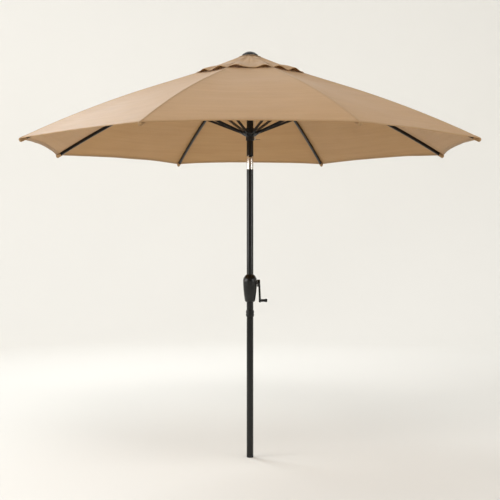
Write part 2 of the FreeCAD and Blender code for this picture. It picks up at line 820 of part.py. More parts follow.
def finial():
    """A low black dome with an upright rim, screwed down on the crown over the vent cover."""
    plate = revolved("finial_plate", [
        (0, "CrownTop - 20"),
        ("StudRadius", "CrownTop - 20"),
        ("StudRadius", "FinialBottom"),
        ("FinialRadius - 1.5", "FinialBottom"),
        ("FinialRadius", "FinialBottom + 1.5"),
        ("FinialRadius", "FinialBottom + FinialRim - 1.5"),
        ("FinialRadius - 2", "FinialBottom + FinialRim"),
        (0, "FinialBottom + FinialRim"),
    ])
    rise = "(FinialTop - FinialBottom - FinialRim)"
    curve = f"((FinialRadius - 2) ^ 2 + {rise} ^ 2) / (2 * {rise})"
    ball = doc.addObject("Part::Sphere", "finial_ball")
    bind(ball, Radius=curve)
    place(ball, z=f"FinialTop - {curve}")
    core = rod("finial_core", "FinialRadius - 2", f"{rise} + 1", z="FinialBottom + FinialRim - 0.5")
    return fuse("finial", plate, common("finial_dome", ball, core))


# ---- lift cord ----


def lift_cord_lower():
    """The cord wound on the drum, and its run up to the tilt joint."""
    turn = "DrumRadius + SeatGap"
    outer = "DrumRadius + CordRadius * 2"
    half = "DrumHalfWidth - DrumFlange - SlipGap"
    wound = rod("winding_outer", outer, f"({half}) * 2", f"-({half})", 0, "ShaftHeight", "x")
    hollow = rod("winding_bore", turn, "DrumHalfWidth * 2", "-DrumHalfWidth", 0, "ShaftHeight", "x")
    start = Vector(0, -size("DrumRadius + CordRadius"), size("ShaftHeight"))
    end = Vector(size("CordOffset"), 0, size("TiltPivotHeight - LockDrop * 2"))
    run = doc.addObject("Part::Cylinder", "cord_rise")
    bind(run, Radius="CordRadius")
    run.Height = (end - start).Length
    run.Placement = Placement(start, Rotation(Vector(0, 0, 1), end - start))
    core = rod("winding_core", turn, "DrumHalfWidth * 4", "-DrumHalfWidth * 2", 0, "ShaftHeight", "x")
    return cut("lift_cord_lower", fuse("cord_wound", cut("winding", wound, hollow), run), core)


def lift_cord_upper():
    """The cord from the tilt joint over the crown pulley and down to the runner."""
    start = Vector(size("CordOffset"), 0, size("TiltPivotHeight - LockDrop"))
    top = Vector(size("PulleyReach - PulleyRadius"), 0, size("PulleyHeight"))
    rise = doc.addObject("Part::Cylinder", "cord_up")
    bind(rise, Radius="CordRadius")
    rise.Height = (top - start).Length
    rise.Placement = Placement(start, Rotation(Vector(0, 0, 1), top - start))
    over = torus("cord_over", "PulleyRadius", "CordRadius", "PulleyReach", 0, "PulleyHeight",
                 Rotation(Vector(1, 0, 0), 90), 180)
    fall = rod("cord_fall", "CordRadius", "PulleyHeight - RunnerFlangeTop - 1", "PulleyReach + PulleyRadius",
               0,
               "RunnerFlangeTop + 1")
    return fuse("lift_cord_upper", rise, over, fall)


def cord_knot():
    """The lift cord's end below the runner: the stopper knot and the short loose tail."""
    reach = "PulleyReach + PulleyRadius"
    level = "RunnerConeBottom - KnotDrop"
    through = rod("knot_cord", "CordRadius", f"RunnerFlangeTop - ({level})", reach, 0, level)
    knot = doc.addObject("Part::Ellipsoid", "knot")
    bind(knot, Radius1="KnotLength / 2", Radius2="KnotRadius", Radius3="KnotRadius")
    place(knot, reach, 0, level)
    tail = rod("knot_tail", "CordRadius * 0.7", "TailLength", f"{reach} + 1", 0, f"{level} - 1", "x")
    return fuse("cord_knot", through, knot, tail)


# ---- runner ----


def runner():
    """The sliding hub that pushes the struts, notched for them, with a channel past the tilt button."""
    body = revolved("runner_form", [
        ("RunnerBore", "RunnerCollarTop"),
        ("RunnerBore", "RunnerBottom"),
        ("RunnerSleeveRadius", "RunnerBottom"),
        ("RunnerSleeveRadius", "RunnerConeBottom - 2"),
        ("RunnerConeRadius", "RunnerConeBottom"),
        ("RunnerFlangeRadius - 3", "RunnerFlangeBottom"),
        ("RunnerFlangeRadius", "RunnerFlangeBottom + 3", 4, -1),
        ("RunnerFlangeRadius", "RunnerFlangeTop - 1"),
        ("RunnerFlangeRadius - 1", "RunnerFlangeTop"),
        ("RunnerCollarRadius", "RunnerFlangeTop"),
        ("RunnerCollarRadius", "RunnerCollarTop - 3"),
        ("RunnerCollarRadius - 2", "RunnerCollarTop"),
    ])
    slots = radial_slots("runner_slot", "RunnerSlotWidth", "SlotInner - 0.5", "RunnerFlangeBottom - 13",
                         "RunnerFlangeTop + 1", "RunnerFlangeRadius + 2")
    groove = torus("runner_groove", "PivotRadius", "RingWireRadius + PressGap", z="RunnerPivotHeight")
    channel = block("button_channel", ("-ButtonRadius - 1", "0", "RunnerBottom - 1"),
                    ("ButtonRadius + 1", "PoleRadius + ButtonProud + 0.8", "RunnerCollarTop + 1"))
    cord = rod("runner_cord_hole", "CordHoleRadius", "RunnerFlangeTop - RunnerConeBottom + 20",
               "PulleyReach + PulleyRadius", 0, "RunnerConeBottom - 10")
    return cut("runner", body, *slots, groove, channel, cord)


# ---- ribs and struts ----


def strut_angle():
    """Slope of the line from a pivot ring to the strut joint, with the canopy open."""
    return math.degrees(math.asin(size("(CrownPivotHeight - RunnerPivotHeight) / 2 / StrutLength")))


def rib_angle():
    return strut_angle() - math.degrees(math.asin(size("StrutDrop / StrutLength")))


def rib_frame(number):
    """The rib's frame: origin at its crown pivot, X along its straight part, Z up out of its top."""
    turn = Rotation(Vector(0, 0, 1), azimuth(number)) * Rotation(Vector(0, 1, 0), rib_angle())
    pivot = Rotation(Vector(0, 0, 1), azimuth(number)).multVec(Vector(size("PivotRadius"), 0, 0))
    return Placement(pivot + Vector(0, 0, size("CrownPivotHeight")), turn)


STRAIGHT = "sqrt(StrutLength ^ 2 - StrutDrop ^ 2)"


def rib_point(length, rise):
    """Corner expressions for a place this far along the curved part, this far above its middle line."""
    angle = f"({length}) / RibOuterRound * 180 / pi"
    return (f"{STRAIGHT} + (RibOuterRound + ({rise})) * sin({angle})",
            f"(RibOuterRound + ({rise})) * cos({angle}) - RibOuterRound")


def rib_outline(start, rise, end):
    """Side view of the rib, this far above and below its middle line."""
    return [
        (start, rise),
        (STRAIGHT, rise),
        (*rib_point(end, rise), f"RibOuterRound + ({rise})", 1),
        (*rib_point(end, f"-({rise})"),),
        (STRAIGHT, f"-({rise})", f"RibOuterRound - ({rise})", -1),
        (start, f"-({rise})"),
    ]


def rib(number):
    """A bent steel tube, straight to the strut joint and bowed beyond it."""
    name = f"rib_{number + 1}"
    body = doc.addObject("PartDesign::Body", name)
    end = "RibOuterLength - TipCapLength"
    pad = padded(body, name, rib_outline("RibTubeStart", "RibHeight / 2", end), "RibWidth")
    doc.recompute()
    half = size("RibHeight") / 2
    long_edges = [
        f"Edge{index}" for index, edge in enumerate(pad.Shape.Edges, start=1)
        if edge.Length > 20 * half
    ]
    soft = body.newObject("PartDesign::Fillet", f"{name}_round")
    soft.Base = (pad, long_edges)
    bind(soft, Radius="RibRound")
    body.Tip = soft
    pocketed(body, name, rib_outline("RibTubeStart - 1", "RibHeight / 2 - RibWall", f"{end} + 1"),
             "RibWidth - RibWall * 2")
    body.Placement = rib_frame(number)
    return body


def rib_fittings(number):
    """What is riveted on a rib: the crown tongue, the strut clevis with its rivet, and the tip cap."""
    tag = f"rib_{number + 1}"
    plug_half = "RibWidth / 2 - RibWall - SeatGap"
    plug_rise = "RibHeight / 2 - RibWall - SeatGap"
    eye = rod(f"{tag}_eye", "EyeRadius", "TongueWidth", y="-TongueWidth / 2", along="y")
    web = block(f"{tag}_web", (0, "-TongueWidth / 2", "-EyeRadius + 0.3"),
                ("RibTubeStart", "TongueWidth / 2", "EyeRadius - 0.3"))
    plug = block(f"{tag}_plug", ("RibTubeStart - 1", f"-({plug_half})", f"-({plug_rise})"),
                 ("RibTubeStart + TipPlugLength * 2", plug_half, plug_rise))
    hole = rod(f"{tag}_eye_hole", "EyeHoleRadius", "TongueWidth * 2", y="-TongueWidth", along="y")
    tongue = cut(f"{tag}_tongue", fuse(f"{tag}_tongue_solid", eye, web, plug), hole)

    inner = "RibWidth / 2 + SeatGap"
    outer = f"{inner} + ClevisPlate"
    low = "-StrutDrop - EyeRadius"
    left = f"{STRAIGHT} - ClevisLength / 2"
    right = f"{STRAIGHT} + ClevisLength / 2"
    shell = block(f"{tag}_clevis_shell", (left, f"-({outer})", low), (right, outer, "RibHeight / 5"))
    rib_gap = block(f"{tag}_clevis_rib", (f"{left} - 1", f"-({inner})", "-RibHeight / 2 - SeatGap"),
                    (f"{right} + 1", inner, "RibHeight"))
    strut_gap = block(f"{tag}_clevis_strut", (f"{left} - 1", f"-({inner})", f"{low} - 1"),
                      (f"{right} + 1", inner, "-RibHeight / 2 - ClevisPlate"))
    rivet_hole = rod(f"{tag}_rivet_hole", "StrutPinRadius + PressGap", "RibWidth * 3", STRAIGHT,
                     "-RibWidth * 1.5",
                     "-StrutDrop", "y")
    clevis = cut(f"{tag}_clevis", shell, rib_gap, strut_gap, rivet_hole)
    rivet_shank = rod(f"{tag}_rivet_shank", "StrutPinRadius", f"({outer}) * 2", STRAIGHT, f"-({outer})",
                      "-StrutDrop", "y")
    rivet_heads = [
        rod(f"{tag}_rivet_head_{side}", "StrutPinRadius * 1.7", "1", STRAIGHT, start, "-StrutDrop", "y")
        for side, start in (("left", f"-({outer}) - 1"), ("right", outer))
    ]
    rivet = fuse(f"{tag}_rivet", rivet_shank, *rivet_heads)

    cap_body = block(f"{tag}_cap_body", (0, "-RibWidth / 2", "-RibHeight / 2"),
                     ("TipCapLength", "RibWidth / 2", "RibHeight / 2"))
    cap_plug = block(f"{tag}_cap_plug", ("-TipPlugLength", f"-({plug_half})", f"-({plug_rise})"),
                     (1, plug_half, plug_rise))
    tip = fuse(f"{tag}_tip", cap_body, cap_plug)
    end_x, end_z = rib_point("RibOuterLength - TipCapLength", "0")
    slope = size("(RibOuterLength - TipCapLength) / RibOuterRound * 180 / pi")
    tip.Placement = Placement(Vector(size(end_x), 0, size(end_z)), Rotation(Vector(0, 1, 0), slope))

    fittings = group(f"rib_fittings_{number + 1}", tongue, clevis, rivet, tip)
    fittings.Placement = rib_frame(number)
    return fittings


def strut(number):
    """A steel channel, open below, with solid rounded ends that turn on the ring and the rivet."""
    tag = f"strut_{number + 1}"
    half = "StrutWidth / 2"
    rise = "StrutHeight / 2"
    bar = block(f"{tag}_bar", (0, f"-{half}", f"-{rise}"), ("StrutLength", half, rise))
    ends = [
        rod(f"{tag}_{end}", rise, "StrutWidth", x, f"-{half}", 0, "y")
        for end, x in (("inner_end", 0), ("outer_end", "StrutLength"))
    ]
    channel = block(f"{tag}_channel", ("StrutSolidEnd", f"-{half} + StrutWall", f"-{rise} - 1"),
                    ("StrutLength - StrutSolidEnd", f"{half} - StrutWall", f"{rise} - StrutWall"))
    ring_hole = rod(f"{tag}_ring_hole", "EyeHoleRadius", "StrutWidth * 2", 0, "-StrutWidth", 0, "y")
    pin_hole = rod(f"{tag}_pin_hole", "StrutPinHole", "StrutWidth * 2", "StrutLength", "-StrutWidth", 0, "y")
    arm = cut(tag, fuse(f"{tag}_solid", bar, *ends), channel, ring_hole, pin_hole)
    spin = Rotation(Vector(0, 0, 1), azimuth(number))
    pivot = spin.multVec(Vector(size("PivotRadius"), 0, 0)) + Vector(0, 0, size("RunnerPivotHeight"))
    arm.Placement = Placement(pivot, spin * Rotation(Vector(0, 1, 0), -strut_angle()))
    return arm


# ---- canopy cloth ----


def cloth_solid(sections):
    """A closed solid through sections of matching (lower, upper) point pairs, each face flat."""
    faces = []
    for left, right in zip(sections, sections[1:]):
        for near_l, far_l, near_r, far_r in zip(left, left[1:], right, right[1:]):
            for layer in (0, 1):
                faces.append([near_l[layer], far_l[layer], far_r[layer], near_r[layer]])
        for end in (0, -1):
            faces.append([left[end][0], right[end][0], right[end][1], left[end][1]])
    for section in (sections[0], sections[-1]):
        faces.append([pair[0] for pair in section] + [pair[1] for pair in reversed(section)])
    shell = Part.makeShell([Part.Face(Part.makePolygon(points + points[:1])) for points in faces])
    return Part.Solid(shell)


def rib_line(rise):
    """Radius and height of the cloth's line above a rib, from the vent hole to the rib's tip."""
    slope = math.radians(rib_angle())
    pivot, straight, bow = size("PivotRadius"), size(STRAIGHT), size("RibOuterRound")
    places = [((size("VentHoleRadius") - pivot) / math.cos(slope), rise)]
    steps = 12
    for step in range(steps + 1):
        angle = size("RibOuterLength") * step / steps / bow
        places.append((straight + (bow + rise) * math.sin(angle), (bow + rise) * math.cos(angle) - bow))
    return [
        (pivot + x * math.cos(slope) + y * math.sin(slope),
         size("CrownPivotHeight") - x * math.sin(slope) + y * math.cos(slope))
        for x, y in places
    ]


def vent_line():
    return [
        (size("VentInnerRadius"), size("VentInnerHeight")),
        (size("VentBreakRadius"), size("VentBreakHeight")),
        (size("VentHemRadius"), size("VentHemHeight")),
    ]


def gore_sections(line, hem_cut):
    """The line over the rib between its two copies at the middles of the panels beside it."""
    narrow = math.cos(math.radians(HALF_PANEL))
    middle = [(radius * narrow, height) for radius, height in line]
    (r0, z0), (r1, z1) = middle[-2:]
    short = 1 - hem_cut / (r1 - r0)
    middle[-1] = (r0 + (r1 - r0) * short, z0 + (z1 - z0) * short)
    sections = []
    for angle, profile in ((-HALF_PANEL, middle), (0, line), (HALF_PANEL, middle)):
        spin = Rotation(Vector(0, 0, 1), angle)
        thick = Vector(0, 0, size("ClothThickness"))
        lower = [spin.multVec(Vector(radius, 0, height)) for radius, height in profile]
        sections.append([(point, point + thick) for point in lower])
    return sections


def canopy_gore(number):
    """The cloth over one rib, halfway to each neighbour: the main panel halves and the vent cover's."""
    item = doc.addObject("Part::Feature", f"canopy_gore_{number + 1}")
    main = cloth_solid(gore_sections(rib_line(size("RibHeight / 2 + ClothGap")), size("HemCut")))
    vent = cloth_solid(gore_sections(vent_line(), 0))
    item.Shape = Part.Compound([main, vent])
    item.Placement = Placement(Vector(), Rotation(Vector(0, 0, 1), azimuth(number)))
    return item


def build():
    single = [
        foot_cap, lower_pole, middle_pole, pole_collar, snap_button, snap_spring,
        housing_screws, shaft_bushes, cord_spool, rounded_arm, crank_knob,
        tilt_socket, tilt_pin, tilt_tongue, tilt_button, button_spring,
        upper_pole, crown_hub, pulley, finial, lift_cord_lower, lift_cord_upper, cord_knot, runner,
    ]
    parts = [make() for make in single]
    parts += [housing_shell("housing_front", -1), housing_shell("housing_rear", 1)]
    parts += [ring_wire("crown_ring", "CrownPivotHeight"), ring_wire("runner_ring", "RunnerPivotHeight")]
    for number in range(RIBS):
        parts += [rib(number), rib_fittings(number), strut(number), canopy_gore(number)]
    doc.recompute()
    return parts


def check(parts):
    """Stop if anything in the document failed, or a part is empty or broken."""
    for item in doc.Objects:
        if {"Invalid", "Error"} & set(item.State):
            raise RuntimeError(f"{item.Name} failed: {item.State}")
    for part in parts:
        shape = part.Shape
        if shape.isNull() or not shape.isValid() or not shape.Solids or shape.Volume <= 0:
            raise RuntimeError(f"{part.Label} has no valid solid")


def write(parts):
    os.makedirs("parts", exist_ok=True)
    for part in parts:
        part.Shape.exportStep(f"parts/{part.Label}.step")
        print(part.Label, len(part.Shape.Solids), round(part.Shape.Volume))


fill_sheet()
made = build()
check(made)
write(made)
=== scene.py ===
import json
import math

import bpy
from mathutils import Matrix, Vector, noise


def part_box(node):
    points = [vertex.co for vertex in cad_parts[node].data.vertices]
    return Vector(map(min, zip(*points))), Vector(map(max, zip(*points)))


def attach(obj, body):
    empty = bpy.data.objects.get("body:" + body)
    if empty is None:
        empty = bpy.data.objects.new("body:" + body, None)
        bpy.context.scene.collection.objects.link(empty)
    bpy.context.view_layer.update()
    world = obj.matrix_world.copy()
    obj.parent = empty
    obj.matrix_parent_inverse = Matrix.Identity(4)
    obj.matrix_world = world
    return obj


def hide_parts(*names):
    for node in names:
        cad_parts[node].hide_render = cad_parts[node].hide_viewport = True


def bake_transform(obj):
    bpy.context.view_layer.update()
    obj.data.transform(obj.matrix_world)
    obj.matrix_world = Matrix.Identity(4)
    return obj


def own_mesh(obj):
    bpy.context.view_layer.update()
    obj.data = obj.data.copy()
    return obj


# A market umbrella: cloth canopy, vent cover and cord built round the CAD frame, with studio light.
# Lengths are in metres. The pole stands on Z, the crank is on +X, and the camera looks along +Y.

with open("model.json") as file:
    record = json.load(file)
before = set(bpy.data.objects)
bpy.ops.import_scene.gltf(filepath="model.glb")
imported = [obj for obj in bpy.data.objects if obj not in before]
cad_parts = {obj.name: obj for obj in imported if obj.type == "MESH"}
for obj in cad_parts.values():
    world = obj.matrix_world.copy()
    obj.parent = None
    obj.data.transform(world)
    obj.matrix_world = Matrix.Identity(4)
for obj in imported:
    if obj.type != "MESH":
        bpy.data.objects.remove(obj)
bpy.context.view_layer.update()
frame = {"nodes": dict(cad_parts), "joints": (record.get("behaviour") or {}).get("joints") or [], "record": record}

RIBS = 8
HALF = math.radians(180 / RIBS)
COS, SIN = math.cos(HALF), math.sin(HALF)


def joint(name):
    return next(j for j in frame["joints"] if j["name"] == name)


def joint_place(name):
    return Vector(joint(name)["pos_m"])


# ---- the frame's own lines ----
# A rib is straight from its pivot to its strut, which hangs STRUT_DROP below the rib's middle.
# Beyond the strut the rib bows down on an arc of radius RIB_BOW and length RIB_OUTER.

crown_pivot = joint_place("rib_1_fold")
strut_pivot = joint_place("strut_1_pivot")
runner_pivot = joint_place("runner_pivot")
PIVOT = math.hypot(crown_pivot.x, crown_pivot.y)
CROWN_Z = crown_pivot.z
STRUT = (strut_pivot - runner_pivot).length
STRUT_DROP = 0.018
STRAIGHT = math.sqrt(STRUT**2 - STRUT_DROP**2)
RIB_SLOPE = math.asin((CROWN_Z - strut_pivot.z) / STRUT) - math.asin(STRUT_DROP / STRUT)
RIB_BOW = 5.783
RIB_OUTER = 0.783
RIB_END = STRAIGHT + RIB_OUTER
RIB_HALF_HEIGHT = 0.009
RIB_HALF_WIDTH = 0.006

# ---- cloth sizes ----
# A VENT size with two values is a radius and a height. A LAP is where a panel starts beside its rib,
# as a share of half the seam tape.

CLOTH = 0.001
THIN_CLOTH = 0.0008
TAPE = 0.0006
UNDER_PATCH = 0.0005
CLOTH_GAP = 0.0016
TAPE_GAP = 0.0001
PATCH_GAP = 0.0008
LINING_GAP = 0.0032
SEAM_HALF = 0.0078
VENT_HOLE = 0.21
HEM_CUT = 0.027
HEM_FOLD = 0.02
PANEL_SAG = 0.014
VENT_START = 0.047
VENT_BREAK = (0.170, 2.217)
VENT_HEM = (0.322, 2.1578)
VENT_TOP_Z = 2.2705
VENT_HEM_FOLD = 0.013
WAVE_LIFT = 0.0148
WAVE_START = 0.35  # a wave's start, as a share of the way from the crown to the hem
WAVE_TACK = 0.12  # the flat stretch beside a rib and a panel's middle
POCKET_LENGTH = 0.038
SEAM_LAP = 0.9
VENT_SEAM_LAP = 0.8
VENT_SEAM_START = 0.09  # shares of the way from the crown to the vent's hem
LINING_START, LINING_REACH = 0.02, 0.5
LINING_HALF = 0.0265
VENT_SLOPE = 1.08  # cloth length for each metre of radius
CROWN_WIDER = 1.3  # width of a crown patch that lies under its neighbours


def rib_azimuth(number):
    return HALF + number * 2 * HALF


def rib_point(length, rise):
    """Radius and height at a length along a rib from its pivot and a rise above its middle."""
    bow = max(0.0, length - STRAIGHT) / RIB_BOW
    x = min(length, STRAIGHT) + (RIB_BOW + rise) * math.sin(bow)
    y = (RIB_BOW + rise) * math.cos(bow) - RIB_BOW
    cos, sin = math.cos(RIB_SLOPE), math.sin(RIB_SLOPE)
    return PIVOT + x * cos + y * sin, CROWN_Z - x * sin + y * cos


def smooth(x):
    x = min(1.0, max(0.0, x))
    return x * x * (3 - 2 * x)


# ---- material tools ----


class Graph:
    """Short calls for a material's nodes."""

    def __init__(self, name):
        self.material = bpy.data.materials.new(name)
        self.material.use_nodes = True
        self.tree = self.material.node_tree
        self.surface = self.tree.nodes["Principled BSDF"]
        self.output = self.tree.nodes["Material Output"]

    def add(self, kind, inputs=None, **settings):
        node = self.tree.nodes.new(kind)
        for name, value in settings.items():
            setattr(node, name, value)
        for name, value in (inputs or {}).items():
            self.put(value, node.inputs[name])
        return node

    def put(self, value, socket):
        if isinstance(value, bpy.types.NodeSocket):
            self.tree.links.new(value, socket)
        else:
            socket.default_value = value

    def principled(self, **values):
        for name, value in values.items():
            self.put(value, self.surface.inputs[name.replace("_", " ")])

    def place(self, scale=(1, 1, 1), uv=None):
        """Rest-frame coordinates, or a UV map in metres, times a scale."""
        if uv:
            source = self.add("ShaderNodeUVMap", uv_map=uv).outputs["UV"]
        else:
            source = self.add("ShaderNodeTexCoord").outputs["Object"]
        return self.add("ShaderNodeMapping", {"Vector": source, "Scale": scale}).outputs["Vector"]

    def noise(self, vector, scale=1.0, detail=2.0, roughness=0.5):
        inputs = {"Vector": vector, "Scale": scale, "Detail": detail, "Roughness": roughness}
        return self.add("ShaderNodeTexNoise", inputs).outputs["Fac"]

    def math(self, operation, a, b=0.0, clamp=False):
        node = self.add("ShaderNodeMath", operation=operation, use_clamp=clamp)
        self.put(a, node.inputs[0])
        self.put(b, node.inputs[1])
        return node.outputs[0]

    def ramp(self, value, low, high, out_low=0.0, out_high=1.0, **settings):
        inputs = {"Value": value, "From Min": low, "From Max": high}
        inputs |= {"To Min": out_low, "To Max": out_high}
        return self.add("ShaderNodeMapRange", inputs, **settings).outputs["Result"]

    def mix(self, factor, a, b):
        node = self.add("ShaderNodeMix", data_type="RGBA")
        self.put(factor, node.inputs[0])
        self.put(a, node.inputs[6])
        self.put(b, node.inputs[7])
        return node.outputs[2]

    def let_through(self, colour, share, normal):
        """Light that falls on the far side shows through as this share of the surface."""
        through = self.add("ShaderNodeBsdfTranslucent", {"Color": colour, "Normal": normal})
        both = self.add("ShaderNodeMixShader", {"Fac": share})
        self.tree.links.new(self.surface.outputs[0], both.inputs[1])
        self.tree.links.new(through.outputs[0], both.inputs[2])
        self.tree.links.new(both.outputs[0], self.output.inputs["Surface"])

    def bump(self, height, distance, strength=1.0, normal=None):
        inputs = {"Height": height, "Distance": distance, "Strength": strength}
        if normal is not None:
            inputs["Normal"] = normal
        return self.add("ShaderNodeBump", inputs).outputs["Normal"]


def rgb(red, green, blue):
    """Scene-linear colour from display values of 0 to 255."""
    def linear(value):
        value /= 255
        return value / 12.92 if value < 0.04045 else ((value + 0.055) / 1.055) ** 2.4
    return linear(red), linear(green), linear(blue), 1.0


# ---- materials ----

UV = "cloth"
THREAD_PITCH = 0.0011
STITCH_PITCH = 0.005
STRAND_PITCH = 0.004
STRANDS = 60
SHEEN = {"Sheen_Weight": 0.34, "Sheen_Roughness": 0.4, "Sheen_Tint": (1.0, 0.97, 0.92, 1)}


def canvas(name, tint, shade, see_through, share):
    """Slub-woven polyester: thick and thin threads across the panel, with light let through."""
    g = Graph(name)
    plain = g.place(uv=UV)
    slub = g.noise(g.place((5, 210, 1), UV), detail=3, roughness=0.6)
    fine = g.noise(g.place((30, 900, 1), UV), detail=2)
    patch = g.noise(g.place((6, 9, 1), UV), detail=3)
    band = g.noise(g.place((1.6, 34, 1), UV), detail=4, roughness=0.6)
    split = g.add("ShaderNodeSeparateXYZ", {"Vector": plain})
    thread = 2 * math.pi / THREAD_PITCH
    warp = g.math("SINE", g.math("MULTIPLY", split.outputs["X"], thread))
    weft = g.math("SINE", g.math("MULTIPLY", split.outputs["Y"], thread))
    weave = g.math("MULTIPLY", warp, weft)
    tone = g.math("ADD", g.math("MULTIPLY", slub, 0.35), g.math("MULTIPLY", fine, 0.1))
    tone = g.math("ADD", tone, g.math("MULTIPLY", patch, 0.2))
    tone = g.math("ADD", tone, g.math("MULTIPLY", band, 0.45))
    colour = g.mix(g.ramp(tone, 0.42, 0.68), shade, tint)
    height = g.math("ADD", g.math("MULTIPLY", slub, 0.7), g.math("MULTIPLY", weave, 0.12))
    height = g.math("ADD", height, g.math("MULTIPLY", fine, 0.4))
    normal = g.bump(height, 0.0006, 0.6)
    g.principled(Base_Color=colour, Roughness=g.ramp(slub, 0.3, 0.7, 0.55, 0.72), Normal=normal)
    g.principled(Specular_IOR_Level=0.5, **SHEEN)
    g.let_through(see_through, share, normal)
    return g.material


def stitched(name, tint, shade, thread_colour):
    """Seam tape with a row of stitches near each edge: U runs across it and V along it."""
    g = Graph(name)
    split = g.add("ShaderNodeSeparateXYZ", {"Vector": g.place(uv=UV)})
    across = g.math("ABSOLUTE", split.outputs["X"])
    row = g.math("SUBTRACT", across, SEAM_HALF * 0.62)
    row = g.ramp(g.math("ABSOLUTE", row), 0.0004, 0.0009, 1.0, 0.0)
    dash = g.math("SINE", g.math("MULTIPLY", split.outputs["Y"], 2 * math.pi / STITCH_PITCH))
    dash = g.ramp(dash, -0.3, 0.1)
    stitch = g.math("MULTIPLY", row, dash, True)
    slub = g.noise(g.place((300, 60, 1), UV), detail=3)
    base = g.mix(slub, shade, tint)
    colour = g.mix(stitch, base, thread_colour)
    height = g.math("SUBTRACT", g.math("MULTIPLY", stitch, 0.8), g.math("MULTIPLY", row, 0.5))
    height = g.math("ADD", height, g.math("MULTIPLY", slub, 0.4))
    normal = g.bump(height, 0.0006, 0.8)
    g.principled(Base_Color=colour, Roughness=0.68, Normal=normal, **SHEEN)
    g.let_through(TAN_THROUGH, 0.34, normal)
    return g.material


def powder_coat(name, colour, worn, roughness):
    """Dark bronze powder coat: a faint orange peel, with duller rubbed streaks along the tube."""
    g = Graph(name)
    peel = g.noise(g.place(), 900, 2)
    streak = g.noise(g.place((90, 90, 3)), 1, 4, 0.6)
    blotch = g.noise(g.place(), 14, 3)
    worn_share = g.math("ADD", g.math("MULTIPLY", streak, 0.7), g.math("MULTIPLY", blotch, 0.3))
    rub = g.ramp(worn_share, 0.48, 0.75)
    g.principled(Base_Color=g.mix(rub, colour, worn), Metallic=0.0, Specular_IOR_Level=0.42)
    g.principled(Roughness=g.ramp(rub, 0, 1, roughness, roughness + 0.14))
    g.principled(Normal=g.bump(peel, 0.0002, 0.35))
    return g.material


def moulded(name, colour, worn, roughness, grain=1500, depth=0.0002, shine=0.35):
    """Moulded plastic with a fine spark-eroded grain and slightly paler rubbed places."""
    g = Graph(name)
    fine = g.noise(g.place(), grain, 3, 0.6)
    blotch = g.noise(g.place(), 35, 4, 0.55)
    rub = g.ramp(blotch, 0.5, 0.78)
    g.principled(Base_Color=g.mix(rub, colour, worn), Specular_IOR_Level=shine)
    g.principled(Normal=g.bump(fine, depth, 0.5))
    g.principled(Roughness=g.ramp(blotch, 0.25, 0.75, roughness - 0.05, roughness + 0.08))
    return g.material


def polished(name):
    """Chrome plate with a trace of polishing marks round the tube and faint haze."""
    g = Graph(name)
    marks = g.noise(g.place((20, 20, 2500)), 1, 2)
    haze = g.noise(g.place(), 60, 3)
    g.principled(Base_Color=g.mix(haze, rgb(214, 210, 203), rgb(232, 229, 224)), Metallic=1.0)
    g.principled(Roughness=g.ramp(haze, 0.3, 0.7, 0.09, 0.17), Normal=g.bump(marks, 0.00005, 0.25))
    return g.material


def zinc(name):
    """Zinc-plated steel, brushed."""
    g = Graph(name)
    marks = g.noise(g.place((60, 60, 1800)), 1, 3)
    spangle = g.noise(g.place(), 220, 4, 0.7)
    g.principled(Base_Color=g.mix(spangle, rgb(150, 150, 148), rgb(188, 187, 182)), Metallic=1.0)
    g.principled(Roughness=g.ramp(marks, 0.3, 0.7, 0.26, 0.42), Normal=g.bump(marks, 0.0001, 0.4))
    return g.material


def braid(name, colour, shade):
    """Braided cord: crossing diagonal strands round the cord's line, with painted shade in the grooves between
    them.
    """
    g = Graph(name)
    split = g.add("ShaderNodeSeparateXYZ", {"Vector": g.place()})
    turn = g.math("ARCTAN2", split.outputs["Y"], split.outputs["X"])
    rise = g.math("MULTIPLY", split.outputs["Z"], 2 * math.pi / STRAND_PITCH)
    left = g.math("SINE", g.math("ADD", rise, g.math("MULTIPLY", turn, STRANDS)))
    right = g.math("SINE", g.math("SUBTRACT", rise, g.math("MULTIPLY", turn, STRANDS)))
    strands = g.math("MAXIMUM", left, right)
    fuzz = g.noise(g.place(), 2500, 2)
    height = g.math("ADD", strands, g.math("MULTIPLY", fuzz, 0.4))
    # The second colour is painted shade: the grooves between the strands are darker, following the strands of the
    # bump.
    g.principled(Base_Color=g.mix(g.ramp(strands, -0.2, 0.9), shade, colour), Roughness=0.8)
    g.principled(Normal=g.bump(height, 0.0004, 0.7), Sheen_Weight=0.2)
    return g.material


def backdrop_paint_and_shade(name, wall, floor, grey):
    """Matt studio paint with painted shade: a darker floor to even out the ceiling light, and grey up the wall on
    the camera's side.
    """
    g = Graph(name)
    soft = g.noise(g.place(), 0.35, 2)
    split = g.add("ShaderNodeSeparateXYZ", {"Vector": g.place()})

    def eased(axis, low, high):
        return g.ramp(split.outputs[axis], low, high, interpolation_type="SMOOTHSTEP")

    # Painted shade: the floor is a darker mix than the wall, easing into the wall's colour up the bend and further
    # back, to even out the stronger ceiling light on the floor.
    floor_shade_fades = g.math("MAXIMUM", eased("Z", 0.0, 0.9), eased("Y", 2.0, 6.0))
    colour = g.mix(floor_shade_fades, floor, wall)
    # Painted shade: the wall on the camera's side is grey, standing for the unlit side of the studio that the pole
    # and chrome reflect.
    painted_shade_side = g.math("MULTIPLY", eased("Y", 0.5, -7.0), eased("Z", 0.1, 2.0))
    colour = g.mix(painted_shade_side, colour, grey)
    g.principled(Base_Color=g.mix(g.math("MULTIPLY", soft, 0.03), colour, (0, 0, 0, 1)))
    g.principled(Roughness=0.85, Specular_IOR_Level=0.15)
    return g.material


TAN = rgb(197, 160, 113)
TAN_SHADE = rgb(179, 140, 94)
TAN_THROUGH = rgb(202, 172, 124)

